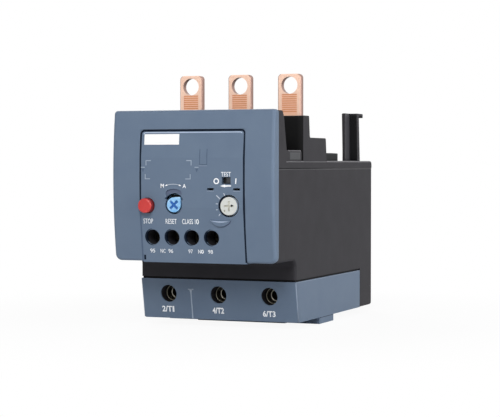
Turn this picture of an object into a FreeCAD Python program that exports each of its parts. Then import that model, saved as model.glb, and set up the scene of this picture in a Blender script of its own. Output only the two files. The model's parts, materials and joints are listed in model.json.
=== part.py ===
import FreeCAD, Part
import math
import os

# Three-pole thermal overload relay for direct mounting under a contactor.
# Millimetres. X to the right, Y to the rear, Z up. Places along Y are given as depth
# behind the front plane of the cover, so that depth 0 is the flat of the control panel.

os.makedirs("parts", exist_ok=True)

# Driving dimensions
COVER_PLANE_Y = -60.4        # Y of depth 0
BODY_DEPTH = 124.0
COVER_HALF = 35.0            # half width of the front cover
BODY_HALF = 34.5             # half width of housing and terminal cover
WALL = 2.2
BACK_WALL = 3.6
INNER_HALF = BODY_HALF - WALL
POLE_PITCH = 22.5
POLES = (-POLE_PITCH, 0.0, POLE_PITCH)
PARTITION_X = POLE_PITCH / 2

FOOT_TOP = 2.75
BLOCK_TOP = 19.35            # top of the terminal cover
STRIP_BOTTOM = 20.15         # underside of the housing
COVER_BOTTOM = 28.05
SEAM_Z = 65.15               # joint between housing and top cover
TOP_Z = 68.25
HOOK_TOP = 89.3
COVER_TOP = 88.35
COVER_REAR = 5.2             # depth of the cover's rear edge
STRIP_DEPTH = 25.6           # depth of the housing's lower front strip
LEG_DEPTH = 106.9            # depth of the housing's rear leg

PANEL_HALF = 22.4
PANEL_TOP = 80.35
PANEL_BOTTOM = 27.65
PANEL_FLAT = (49.65, 69.45)  # heights between which the panel is upright
PANEL_GAP = 0.38

STOP_AT = (-19.2, 50.4)
RESET_AT = (-7.75, 50.75)
DIAL_AT = (16.0, 50.5)
AUX_Z = 37.85
AUX_PITCH = 8.58
AUX_X = tuple(-17.3 + AUX_PITCH * i for i in range(4))
AUX_HOLE_R = 3.1

PIN_DEPTH = (49.5, 52.5)
PIN_HALF = 5.2
PIN_TOP = 104.55
PIN_HOLE_Z = 99.85
PIN_HOLE_R = 3.6

TERMINAL_Z = 13.15
TERMINAL_HOLE_R = 3.6

FRAME_DEPTH = (15.0, 17.0)   # plate that carries the control mechanism
PRESS_SPRING_R = 2.7
BIMETAL_DEPTH = (63.0, 69.0)
BIMETAL_TOP = 61.0
BUS_TOP = 24.2

LEVER_PIVOT = (14.0, 55.0)
LEVER_DEPTH = (26.0, 28.5)
ADJUST_PIVOT = (4.0, 56.0)
ADJUST_DEPTH = (6.2, 8.2)
CAM_R = 4.3                  # cam radius under the follower at rest
CAM_RISE = 0.655             # millimetres of rise per radian
DIAL_TURN = math.radians(105.0)

PARTS = {}


# Small tools

def vec(x, d, z):
    return FreeCAD.Vector(x, COVER_PLANE_Y + d, z)


def block(x, d, z):
    """Box between pairs of limits in X, depth and Z."""
    return Part.makeBox(x[1] - x[0], d[1] - d[0], z[1] - z[0], vec(x[0], d[0], z[0]))


def rod(at, d, r):
    """Cylinder along the depth."""
    return Part.makeCylinder(r, d[1] - d[0], vec(at[0], d[0], at[1]), FreeCAD.Vector(0, 1, 0))


def post(x, d, z, r):
    """Upright cylinder."""
    return Part.makeCylinder(r, z[1] - z[0], vec(x, d, z[0]), FreeCAD.Vector(0, 0, 1))


def rounded(corners, place):
    """Closed wire through corners (a, b, radius), each turned by a tangent arc."""
    count = len(corners)
    ends = []
    for i in range(count):
        a, b, r = corners[i]
        here = FreeCAD.Vector(a, b, 0)
        before = FreeCAD.Vector(corners[i - 1][0], corners[i - 1][1], 0) - here
        after = FreeCAD.Vector(corners[(i + 1) % count][0], corners[(i + 1) % count][1], 0) - here
        if r == 0:
            ends.append((here, here, here))
            continue
        before.normalize()
        after.normalize()
        half = before.getAngle(after) / 2
        reach = r / math.tan(half)
        middle = before + after
        middle.normalize()
        ends.append((here + before * reach, here + middle * (r / math.sin(half) - r), here + after * reach))
    edges = []
    for i in range(count):
        start, mid, end = ends[i]
        follow = ends[(i + 1) % count][0]
        if corners[i][2] > 0:
            edges.append(Part.Arc(place(start), place(mid), place(end)).toShape())
        if (follow - end).Length > 1e-6:
            edges.append(Part.LineSegment(place(end), place(follow)).toShape())
    return Part.Wire(edges)


def with_radius(corners, radius):
    return [c if len(c) == 3 else (c[0], c[1], radius) for c in corners]


def side_prism(corners, x, radius=0):
    """Outline in (depth, z), carried across X."""
    wire = rounded(with_radius(corners, radius), lambda p: vec(x[0], p.x, p.y))
    return Part.Face(wire).extrude(FreeCAD.Vector(x[1] - x[0], 0, 0))


def front_prism(corners, d, radius=0):
    """Outline in (x, z), carried along the depth."""
    wire = rounded(with_radius(corners, radius), lambda p: vec(p.x, d[0], p.y))
    return Part.Face(wire).extrude(FreeCAD.Vector(0, d[1] - d[0], 0))


def plan_prism(corners, z, radius=0):
    """Outline in (x, depth), carried up Z."""
    wire = rounded(with_radius(corners, radius), lambda p: vec(p.x, p.y, z[0]))
    return Part.Face(wire).extrude(FreeCAD.Vector(0, 0, z[1] - z[0]))


def rect(a, b):
    return [(a[0], b[0]), (a[1], b[0]), (a[1], b[1]), (a[0], b[1])]


def around(x, half):
    return (x - half, x + half)


def fuse(shapes):
    return shapes[0].fuse(shapes[1:]).removeSplitter()


def cut(shape, tools):
    return shape.cut(tools).removeSplitter()


def edges_where(shape, chosen):
    """Edges whose middle point passes the test."""
    edges = []
    for edge in shape.Edges:
        middle = edge.valueAt((edge.FirstParameter + edge.LastParameter) / 2)
        if chosen(edge, middle.x, middle.y - COVER_PLANE_Y, middle.z):
            edges.append(edge)
    return edges


def round_edges(shape, radius, chosen):
    return shape.makeFillet(radius, edges_where(shape, chosen))


def bevel_edges(shape, width, chosen):
    return shape.makeChamfer(width, edges_where(shape, chosen))


def along(edge, axis):
    """Whether a straight edge runs along an axis."""
    line = edge.lastVertex().Point - edge.firstVertex().Point
    return line.Length > 0.01 and abs(line.normalize().dot(axis)) > 0.999


def coil(at, d, radius, turns, wire):
    """Compression spring along the depth, ten straight bends to a turn, with a square-section wire."""
    sides = 10
    rise = d[1] - d[0] - wire
    bends = []
    for i in range(sides * turns + 1):
        angle = 2 * math.pi * i / sides
        bends.append(FreeCAD.Vector(radius * math.cos(angle), radius * math.sin(angle), rise * i / (sides * turns)))
    corners = []
    for u, v in ((-1, -1), (1, -1), (1, 1), (-1, 1), (-1, -1)):
        corners.append(bends[0] + FreeCAD.Vector(u * wire / 2, 0, v * wire / 2))
    spring = Part.makePolygon(bends).makePipeShell([Part.makePolygon(corners)], True, True, 1)
    spring.rotate(FreeCAD.Vector(0, 0, 0), FreeCAD.Vector(1, 0, 0), -90)
    spring.translate(vec(at[0], d[0] + wire / 2, at[1]))
    return spring


def group(shapes):
    return Part.makeCompound(shapes)


# Front cover and control panel

def front_cover():
    """Convex plate with two wings, hollow behind, open at the foot for the panel."""
    nose = Part.Arc(vec(-COVER_HALF, 1.7, COVER_TOP), vec(-COVER_HALF, 0, 60.0), vec(-COVER_HALF, 2.7, COVER_BOTTOM))
    foot = Part.LineSegment(vec(-COVER_HALF, 2.7, COVER_BOTTOM), vec(-COVER_HALF, COVER_REAR, COVER_BOTTOM))
    back = Part.LineSegment(vec(-COVER_HALF, COVER_REAR, COVER_BOTTOM), vec(-COVER_HALF, COVER_REAR, COVER_TOP))
    head = Part.LineSegment(vec(-COVER_HALF, COVER_REAR, COVER_TOP), vec(-COVER_HALF, 1.7, COVER_TOP))
    profile = Part.Wire([nose.toShape(), foot.toShape(), back.toShape(), head.toShape()])
    plate = Part.Face(profile).extrude(FreeCAD.Vector(2 * COVER_HALF, 0, 0))
    outline = [(-COVER_HALF, COVER_BOTTOM, 2.6), (COVER_HALF, COVER_BOTTOM, 2.6),
               (COVER_HALF, COVER_TOP, 1.4), (-COVER_HALF, COVER_TOP, 1.4)]
    plate = plate.common(front_prism(outline, (-3, COVER_REAR + 1)))
    plate = round_edges(plate, 1.3, lambda e, x, d, z: d < 3.2 and abs(x) < COVER_HALF + 1)
    opening = PANEL_HALF + PANEL_GAP
    pockets = [front_prism(rect((-opening, opening), (COVER_BOTTOM - 4, PANEL_TOP + PANEL_GAP)), (-3, 9), 0)]
    for side in (-1, 1):
        wing = sorted((side * (opening + 1.5), side * (COVER_HALF - WALL)))
        pockets.append(block(wing, (WALL + 0.3, 9), (34.0, 77.0)))
        pockets.append(block(wing, (WALL + 2.2, 9), (COVER_BOTTOM + 2, 34.0)))
    pockets.append(block((WALL - COVER_HALF, COVER_HALF - WALL), (WALL + 1.2, 9), (82.2, COVER_TOP - 2)))
    return cut(plate, pockets)


def panel_front(z):
    """Depth of the panel's face at a height."""
    if z > PANEL_FLAT[1]:
        return 1.15 * (z - PANEL_FLAT[1]) / (PANEL_TOP - PANEL_FLAT[1])
    if z < PANEL_FLAT[0]:
        return 2.75 * (PANEL_FLAT[0] - z) / (PANEL_FLAT[0] - PANEL_BOTTOM)
    return 0.0


def panel_layer(depth):
    """Solid that lies the given depth under the panel's lower slope."""
    return side_prism([(panel_front(z) + depth, z) for z in (28.0, 48.0)] + [(12.0, 48.0), (12.0, 28.0)], (-30, 30))


def control_panel():
    """Folded front with a box behind it that guides the controls."""
    heights = (PANEL_BOTTOM, PANEL_FLAT[0], PANEL_FLAT[1], PANEL_TOP)
    face = [(panel_front(z), z) for z in heights]
    shell = side_prism(face + [(8.0, PANEL_TOP), (8.0, 66.0), (14.6, 64.2), (14.6, PANEL_BOTTOM)], (-PANEL_HALF, PANEL_HALF))
    shell = round_edges(shell, 1.6, lambda e, x, d, z: z > PANEL_TOP - 0.01 and abs(x) > PANEL_HALF - 0.01)
    shell = round_edges(shell, 0.35, lambda e, x, d, z: d < panel_front(z) + 0.02 and (z > 79 or abs(x) > PANEL_HALF - 0.01))
    inside = [(2.0 + panel_front(z), z) for z in (29.2, 49.65, 69.45, 78.8)]
    cavity = side_prism(inside + [(9.0, 78.8), (9.0, 64.0), (16.0, 62.6), (16.0, 29.2)], (1.2 - PANEL_HALF, PANEL_HALF - 1.2))
    shell = cut(shell, [cavity])

    spring_stop = block((3.2, 4.4), (1.5, 5.2), (59.0, 62.2))
    thumb_lip = rod((12.4, 47.6), (0.1, 2.4), 5.2).cut(rod((12.4, 56.0), (-1, 4), 12.0))
    shell = fuse([shell, spring_stop, thumb_lip])

    x, z = RESET_AT
    fan = [(x - 3.3, z), (x + 3.3, z), (x + 3.5, z + 5.6, 1.5), (x, z + 6.6, 6.0), (x - 3.5, z + 5.6, 1.5)]
    swing = [(x, z)]
    for turn in range(28, 149, 15):
        swing.append((x + 4.65 * math.cos(math.radians(turn)), z + 4.65 * math.sin(math.radians(turn))))
    holes = [rod(STOP_AT, (-1, 7.2), 3.15), rod(RESET_AT, (-1, 4), 3.7), rod(DIAL_AT, (-1, 4), 4.4),
             front_prism(fan, (-1, 0.6)), front_prism(swing, (-1, 4)),
             block((13.0, 16.8), (-1, 4), (59.15, 61.85)),
             block((-20.9, -20.2), (1.0, 5), (28.65, 30.15))]
    for left in (6.7, 17.9):
        holes.append(block((left, left + 2.85), (-1, 4), (56.65, 57.5)))
    for side in (3.4, 6.5):
        holes.append(block((side, side + 0.3), (-1, 4), (66.55, 72.85)))
    holes.append(block((3.4, 6.8), (-1, 4), (66.55, 66.85)))
    for x in AUX_X:
        holes.append(rod((x, AUX_Z), (-1, 9), AUX_HOLE_R))
        holes.append(panel_layer(0.8).common(rod((x, AUX_Z), (1, 9), AUX_HOLE_R + 0.9)))
        holes.append(block(around(x, 2.7), (8.9, 14.0), (26.0, 30.0)))
    return cut(shell, holes)


def aux_block():
    """Insulating block behind the panel: a driver well and a clamp chamber for each auxiliary screw."""
    outline = [(4.7, 29.25), (2.85, 43.4), (14.5, 43.4), (14.5, 29.25)]
    body = side_prism(outline, (AUX_X[0] - AUX_PITCH / 2 + 0.5, AUX_X[3] + AUX_PITCH / 2))
    collars = []
    for x in AUX_X:
        collars.append(panel_layer(0.95).common(rod((x, AUX_Z), (1, 6), AUX_HOLE_R + 0.75)))
    body = fuse([body] + collars)
    holes = []
    for x in AUX_X:
        holes.append(rod((x, AUX_Z), (0, 9.05), AUX_HOLE_R))
        holes.append(block(around(x, 2.8), (9.0, 15.0), (29.0, 42.2)))
    return cut(body, holes)


# Controls

def stop_button():
    head = rod(STOP_AT, (-3.2, 3.8), 2.95)
    head = round_edges(head, 0.7, lambda e, x, d, z: d < -1.9)
    collar = rod(STOP_AT, (2.6, 3.8), 4.6).common(block((-20.4, 0), (2, 5), (45, 56)))
    return fuse([head, collar, rod(STOP_AT, (3.8, 18.0), 1.3)])


def reset_button():
    """Teardrop head that points at the chosen mode, on a square stem."""
    x, z = RESET_AT
    point = math.radians(48)
    reach = 4.3
    drop = [rod(RESET_AT, (0.15, 2.6), 2.95)]
    tip = [(x + reach * math.cos(point), z + reach * math.sin(point), 0.3)]
    for turn in (52, -52):
        tip.append((x + 2.95 * math.cos(point + math.radians(turn)), z + 2.95 * math.sin(point + math.radians(turn))))
    drop.append(front_prism(tip, (0.15, 2.6)))
    drop.append(rod(RESET_AT, (2.6, 3.8), 4.2))
    drop.append(block(around(x, 1.8), (3.8, 18.0), around(z, 1.8)))
    head = fuse(drop)
    slots = []
    for turn in (5, 95):
        slot = block(around(x, 0.55), (-1, 1.0), around(z, 2.2))
        slot.rotate(vec(x, 0, z), FreeCAD.Vector(0, 1, 0), turn - 50)
        slots.append(slot)
    return cut(head, slots)


def mode_cam():
    """Ring that the reset button turns between hand and automatic; it slides on the square stem."""
    x, z = RESET_AT
    ring = fuse([rod(RESET_AT, (9.5, 12.5), 4.4), rod(RESET_AT, (12.5, 14.9), 3.5),
                 block((x - 1.0, x + 1.0), (9.5, 12.5), (z + 3.0, z + 5.4))])
    return cut(ring, [block(around(x, 1.87), (9, 16), around(z, 1.87))])


def setting_dial():
    head = rod(DIAL_AT, (0.35, 3.6), 3.8)
    head = bevel_edges(head, 0.35, lambda e, x, d, z: d < 0.4)
    x, z = DIAL_AT
    flange = rod(DIAL_AT, (3.6, 4.6), 4.8)
    body = fuse([head, flange, rod(DIAL_AT, (4.6, 13.6), 2.4), rod(DIAL_AT, (13.6, 18.2), 1.9)])
    slots = []
    for turn in (20, 110):
        slot = block(around(x, 0.5), (-1, 1.3), around(z, 2.0))
        slot.rotate(vec(x, 0, z), FreeCAD.Vector(0, 1, 0), turn)
        slots.append(slot)
    pointer = math.radians(219)
    slots.append(rod((x + 2.9 * math.cos(pointer), z + 2.9 * math.sin(pointer)), (-1, 0.7), 0.35))
    return cut(body, slots)


def setting_cam():
    """Disc whose radius grows by the same amount for every degree, so the lever follows evenly."""
    x, z = DIAL_AT
    corners = []
    steps = 12
    first = math.radians(80)
    last = math.radians(205)
    for i in range(steps + 1):
        angle = first + (last - first) * i / steps
        r = CAM_R + CAM_RISE * (angle - math.pi / 2)
        corners.append((x + r * math.cos(angle), z + r * math.sin(angle)))
    for i in range(1, 8):
        angle = last + (2 * math.pi + first - last) * i / 8
        corners.append((x + 4.1 * math.cos(angle), z + 4.1 * math.sin(angle)))
    return cut(front_prism(corners, ADJUST_DEPTH), [rod(DIAL_AT, (5, 10), 2.4)])


def adjusting_lever():
    x, z = ADJUST_PIVOT
    hub = rod(ADJUST_PIVOT, ADJUST_DEPTH, 2.8)
    arm = front_prism([(x, z - 0.4), (17.6, 55.6, 0.4), (17.6, 57.2, 0.6), (x, z + 1.6)], ADJUST_DEPTH)
    nub = rod((DIAL_AT[0], DIAL_AT[1] + CAM_R + 0.3 + 0.8), ADJUST_DEPTH, 0.8)
    riser = block((x - 1.1, x + 1.1), ADJUST_DEPTH, (z, z + 7.0))
    return cut(fuse([hub, arm, nub, riser]), [rod(ADJUST_PIVOT, (5, 10), 1.56)])


def compensation_strip():
    x, z = ADJUST_PIVOT
    return block((x + 1.1, x + 1.9), (6.4, 7.8), (z + 2.9, z + 17.5))


def test_slide():
    plate = block((9.6, 20.2), (2.6, 4.0), (58.2, 62.8))
    knob = round_edges(block((14.7, 16.7), (0.5, 2.6), (59.35, 61.65)), 0.3, lambda e, x, d, z: d < 0.6)
    tail = block((18.0, 19.8), (4.0, 12.0), (59.4, 61.4))
    return fuse([plate, knob, tail])


def test_spring():
    spring = coil((0, 0), (0, 5.0), 1.0, 6, 0.35)
    spring.rotate(vec(0, 0, 0), FreeCAD.Vector(0, 0, 1), -90)
    spring.translate(FreeCAD.Vector(4.5, 3.3, 60.5))
    return spring


# Mechanism between the panel and the poles

def mechanism_frame():
    """Plate with guide holes and pivot pins that carries the control mechanism."""
    x, z = RESET_AT
    plate = front_prism(rect((-24.5, 24.5), (30.6, 63.8)), FRAME_DEPTH, 1.0)
    pins = [rod(ADJUST_PIVOT, (5.6, 15.5), 1.5), rod(LEVER_PIVOT, (16.5, 29.4), 1.5)]
    guides = []
    for left in (-7.5, -1.9):
        guides.append(block((left, left + 1.3), (16.5, 25.0), (58.0, 63.6)))
    plate = fuse([plate] + pins + guides)
    holes = [rod(STOP_AT, (14, 18), 1.4), rod(RESET_AT, (14, 18), 2.75), rod(DIAL_AT, (14, 18), 1.95)]
    for x in AUX_X:
        holes.append(block(around(x, 1.6), (14, 18), (39.2, 41.2)))
        holes.append(rod((x, AUX_Z - 0.6), (14, 18), 1.7))
    for side in (-1, 1):
        for height in (34.0, 60.0):
            holes.append(rod((side * 22.9, height), (14, 18), 1.1))
    return cut(plate, holes)


def frame_screws():
    screws = []
    for side in (-1, 1):
        for height in (34.0, 60.0):
            at = (side * 22.9, height)
            head = rod(at, (14.7, 15.0), 1.9)
            screws.append(fuse([head, rod(at, (15.0, 19.0), 1.05)]))
    return group(screws)


def contact_carrier():
    """Upright slider that lifts the closing bridge and the opening bridge together."""
    stem = block((-5.9, -2.1), (22.3, 25.3), (38.0, 60.0))
    upper = front_prism([(-17.5, 50.8, 0.4), (-5.0, 50.8), (-5.0, 53.4), (-17.5, 52.2, 0.4)], (22.8, 24.8))
    lower = front_prism([(-3.0, 44.0), (9.2, 44.9, 0.4), (9.2, 46.3, 0.4), (-3.0, 46.3)], (22.8, 24.8))
    nose = front_prism([(-5.9, 56.55), (5.2, 56.55, 0.4), (5.2, 58.0, 0.6), (-2.0, 59.6, 0.6), (-5.9, 59.6)], (25.2, 28.3))
    return fuse([stem, upper, lower, nose])


def contact_bridge(x, z, rivet_side):
    """Sprung bridge with a silver rivet at each end."""
    bar = front_prism(rect(around(x, 5.9), (z, z + 0.8)), (22.7, 24.9), 0.3)
    tips = []
    for side in (-1, 1):
        tips.append(post(x + side * AUX_PITCH / 2, 23.8, (z + rivet_side[0], z + rivet_side[1]), 1.2))
    return fuse([bar] + tips)


def contact_rail(index):
    """Auxiliary terminal rail: pad under the screw, neck through the frame and contact ledge."""
    x = AUX_X[index]
    pad = cut(block(around(x, 2.6), (12.4, 13.4), (33.6, 42.0)), [rod((x, AUX_Z), (12, 14), 1.55)])
    parts = [pad]
    if index < 2:
        parts.append(block(around(x, 1.4), (13.0, 24.6), (39.5, 40.9)))
        parts.append(block(around(x, 1.4), (23.2, 24.6), (40.0, 48.6)))
        parts.append(block(around(x, 1.6), (22.2, 25.4), (47.8, 48.7)))
        parts.append(post(x, 23.8, (48.6, 49.3), 1.2))
    else:
        parts.append(block(around(x, 1.4), (13.0, 27.4), (39.5, 40.9)))
        parts.append(block(around(x, 1.4), (26.0, 27.4), (40.0, 50.5)))
        parts.append(block(around(x, 1.6), (22.2, 27.4), (49.9, 50.8)))
        parts.append(post(x, 23.8, (49.3, 50.0), 1.2))
    return fuse(parts)


def aux_screws():
    screws = []
    for x in AUX_X:
        at = (x, AUX_Z)
        head = bevel_edges(rod(at, (9.1, 11.2), 2.7), 0.5, lambda e, ex, d, z: d < 9.2)
        cross = [block(around(x, 0.4), (8, 10.3), around(AUX_Z, 1.6)), block(around(x, 1.6), (8, 10.3), around(AUX_Z, 0.4))]
        screws.append(cut(fuse([head, rod(at, (11.2, 14.8), 1.45)]), cross))
    return group(screws)


def aux_clamps():
    """Saddle washers that press the wire on the rail."""
    clamps = []
    for x in AUX_X:
        saddle = block(around(x, 2.7), (11.2, 12.4), (34.2, 41.4))
        groove = block(around(x, 1.5), (11.9, 13.0), (34.0, 35.8))
        clamps.append(cut(saddle, [rod((x, AUX_Z), (10, 14), 1.55), groove]))
    return group(clamps)


def trip_lever():
    """Bell crank: the slide pushes its upright arm, its level arm lifts the contact carrier."""
    x, z = LEVER_PIVOT
    hub = rod(LEVER_PIVOT, LEVER_DEPTH, 3.0)
    upright = front_prism([(x - 1.6, z), (x + 1.6, z), (x + 1.2, z + 10, 0.8), (x - 1.2, z + 10, 0.8)], LEVER_DEPTH)
    level = front_prism([(x, z - 1.8), (x, z + 1.2), (x - 12, z + 1.2, 0.5), (x - 12, z - 0.8, 0.5)], LEVER_DEPTH)
    return cut(fuse([hub, upright, level]), [rod(LEVER_PIVOT, (25, 30), 1.56)])


def trip_slide():
    """Bar with a finger beside each bimetal and an arm that reaches the trip lever."""
    bar = block((-30.5, 29.0), (70.6, 72.2), (57.4, 60.4))
    parts = [bar]
    for x in POLES:
        parts.append(side_prism([(63.6, 58.0, 0.6), (63.6, 60.0, 0.6), (71.0, 60.4), (71.0, 57.4)], (x + 0.9, x + 2.7)))
    parts.append(block((12.7, 14.7), (30.2, 71.8), (61.2, 63.6)))
    parts.append(block((12.7, 14.7), (70.6, 72.2), (59.5, 63.6)))
    parts.append(block((10.6, 14.7), (29.2, 31.0), (61.2, 63.6)))
    parts.append(block((10.6, 12.4), (26.3, 30.0), (61.2, 63.6)))
    return cut(fuse(parts), [rod((26.2, 58.9), (70, 73), 0.93)])


def differential_slide():
    """Second bar, with its fingers on the other side of the bimetals."""
    parts = [block((-30.5, 29.0), (70.6, 72.2), (53.6, 56.2))]
    for x in POLES:
        parts.append(side_prism([(63.6, 54.0, 0.6), (63.6, 55.8, 0.6), (71.0, 56.2), (71.0, 53.6)], (x - 4.4, x - 2.6)))
    return fuse(parts)


def differential_lever():
    """Link laid across the ends of both slides."""
    plate = front_prism([(24.0, 53.8, 1.0), (28.4, 53.8, 1.0), (28.4, 60.2, 1.0), (24.0, 60.2, 1.0)], (72.4, 73.6))
    return fuse([plate, rod((26.2, 58.9), (70.7, 74.2), 0.9)])


# Poles

def bimetal(x):
    return block(around(x, 0.5), BIMETAL_DEPTH, (BUS_TOP, BIMETAL_TOP))


def heater(x):
    """Ribbon winding round the bimetal, turn above turn."""
    middle = (BIMETAL_DEPTH[0] + BIMETAL_DEPTH[1]) / 2
    turns = []
    pitch = 3.4
    count = 7
    for i in range(count):
        low = 29.0 + pitch * i
        loop = plan_prism([(x - 2.1, middle - 4.5), (x + 2.1, middle - 4.5), (x + 2.1, middle + 4.5),
                           (x - 2.1, middle + 4.5)], (low, low + 2.0))
        bore = plan_prism([(x - 1.3, middle - 3.8), (x + 1.3, middle - 3.8), (x + 1.3, middle + 3.8),
                           (x - 1.3, middle + 3.8)], (low - 1, low + 3))
        turns.append(loop.cut(bore))
        if i < count - 1:
            side = -1 if i % 2 else 1
            turns.append(block(sorted((x + side * 1.3, x + side * 2.1)), (middle - 1, middle + 1), (low + 1, low + pitch + 1)))
    turns.append(block((x - 2.1, x - 1.3), (middle - 2, middle), (BUS_TOP, 30.0)))
    return fuse(turns)


def busbar(x):
    """Output bar: tab beside the bimetal's foot, run over the floor, tail down into the terminal."""
    bar = side_prism([(47.0, 5.6), (49.0, 5.6), (49.0, 22.3, 1.0), (70.5, 22.3), (70.5, BUS_TOP), (47.0, BUS_TOP, 1.6)], around(x, 4.4))
    tab = block((x + 0.5, x + 2.3), (62.6, 69.4), (BUS_TOP - 0.4, 28.6))
    return fuse([bar, tab])


def pin(x):
    """Input pin that the contactor clamps, with a grooved face, a hole and a tail to the heater."""
    blade = side_prism([(PIN_DEPTH[0], 50.2), (61.5, 50.2), (61.5, 52.6), (PIN_DEPTH[1], 52.6, 1.0),
                        (PIN_DEPTH[1], PIN_TOP), (PIN_DEPTH[0], PIN_TOP)], around(x, PIN_HALF))
    outline = [(x - PIN_HALF, 49), (x + PIN_HALF, 49), (x + PIN_HALF, PIN_TOP, 1.7), (x - PIN_HALF, PIN_TOP, 1.7)]
    blade = blade.common(front_prism(outline, (40, 70)))
    blade = bevel_edges(blade, 0.35, lambda e, ex, d, z: z > 60 and (d < 49.6 or abs(d - 52.5) < 0.1))
    tools = [rod((x, PIN_HOLE_Z), (48, 54), PIN_HOLE_R)]
    for i in range(9):
        low = 88.6 + 0.88 * i
        tools.append(block(around(x, 3.3), (49.0, 49.75), (low, low + 0.45)))
    return cut(blade, tools)


def box_terminal(x):
    """Cage that is drawn towards the bar when its screw is tightened."""
    outer = plan_prism(rect(around(x, 8.2), (34.4, 51.8)), (7.6, 18.7), 1.4)
    inner = plan_prism(rect(around(x, 5.8), (37.0, 49.3)), (6.0, 20.0), 1.0)
    return cut(outer, [inner, rod((x, TERMINAL_Z), (33, 38), 3.0)])


def terminal_screw(x):
    """Clamp screw whose socket lies at the bottom of a round counterbore in the head."""
    at = (x, TERMINAL_Z)
    head = bevel_edges(rod(at, (31.9, 34.3), 3.4), 0.35, lambda e, ex, d, z: d < 32.0)
    body = fuse([head, rod(at, (34.3, 42.5), 2.95)])
    corners = []
    for i in range(6):
        angle = math.radians(60 * i + 30)
        corners.append((x + 2.31 * math.cos(angle), TERMINAL_Z + 2.31 * math.sin(angle)))
    counterbore = bevel_edges(rod(at, (30.0, 35.6), 2.6), 0.2, lambda e, ex, d, z: d > 35.5)
    return cut(body, [counterbore, front_prism(corners, (34.0, 39.0))])


# Housings

def main_housing():
    """Tub with a chamber for each pole, a compartment for the mechanism and a hollow rear leg."""
    outer = [(COVER_REAR, SEAM_Z), (COVER_REAR, COVER_BOTTOM), (STRIP_DEPTH, COVER_BOTTOM, 3.0), (STRIP_DEPTH, STRIP_BOTTOM),
             (LEG_DEPTH, STRIP_BOTTOM), (LEG_DEPTH, 2.65), (BODY_DEPTH, 2.65, 1.0), (BODY_DEPTH, SEAM_Z)]
    tub = side_prism(outer, (-BODY_HALF, BODY_HALF))
    upright = FreeCAD.Vector(0, 0, 1)
    tub = round_edges(tub, 1.2, lambda e, x, d, z: abs(x) > BODY_HALF - 0.01 and along(e, upright)
                      and (d > BODY_DEPTH - 0.1 or abs(d - STRIP_DEPTH) < 0.1))
    floor = STRIP_BOTTOM + 2.0
    inner = (-INNER_HALF, INNER_HALF)
    hollows = [block(inner, (34.0, 104.7), (floor, 70)),
               block(inner, (104.7, BODY_DEPTH - BACK_WALL), (floor, 70)),
               block(inner, (LEG_DEPTH + WALL, BODY_DEPTH - BACK_WALL), (4.85, 30)),
               block(inner, (1.0, 31.8), (30.25, 70)),
               block(inner, (27.8, 31.8), (floor, 32)),
               block((-PANEL_HALF - 0.3, PANEL_HALF + 0.3), (1.0, 14.9), (COVER_BOTTOM - 1, 32))]
    tub = cut(tub, hollows)
    added = []
    for side in (-1, 1):
        added.append(block(around(side * PARTITION_X, 0.8), (33.0, 104.0), (floor - 0.5, SEAM_Z)))
        added.append(block(sorted((side * 20.9, side * (INNER_HALF + 0.5))), (17.0, 19.2), (29.5, 64.0)))
    for i in range(4):
        added.append(block((INNER_HALF * (2 * i - 3) / 3.6 - 0.6, INNER_HALF * (2 * i - 3) / 3.6 + 0.6),
                           (LEG_DEPTH + WALL - 0.5, BODY_DEPTH - BACK_WALL + 0.5), (4.0, 20.0)))
    tub = fuse([tub] + added)
    openings = [block((9.8, 17.0), (31, 35), (60.6, 70))]
    for side in (-1, 1):
        openings.append(block(around(side * PARTITION_X, 2.0), (70.0, 74.8), (53.0, 70)))
        for height in (34.0, 60.0):
            openings.append(rod((side * 22.9, height), (16, 20), 1.1))
    for x in POLES:
        openings.append(block(around(x, 4.9), (46.6, 49.7), (floor - 4, floor + 1)))
    return cut(tub, openings)


def hook(side):
    """Contactor hook: a thin rib in front, a tapered post across it and a nose to the rear."""
    rib = block(sorted((side * 29.8, side * 30.9)), (96.3, 105.0), (TOP_Z - 1.0, HOOK_TOP))
    across = sorted((side * 27.4, side * 34.4))
    post = side_prism([(103.6, TOP_Z - 1.0), (102.4, HOOK_TOP), (105.3, HOOK_TOP), (106.9, TOP_Z - 1.0)], across)
    nose = side_prism([(103.5, 88.2), (103.5, HOOK_TOP), (110.9, HOOK_TOP, 0.7), (110.9, 87.5, 0.4), (109.8, 87.5, 0.3),
                       (109.6, 88.2, 0.2)], across)
    return fuse([rib, post, nose])


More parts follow.
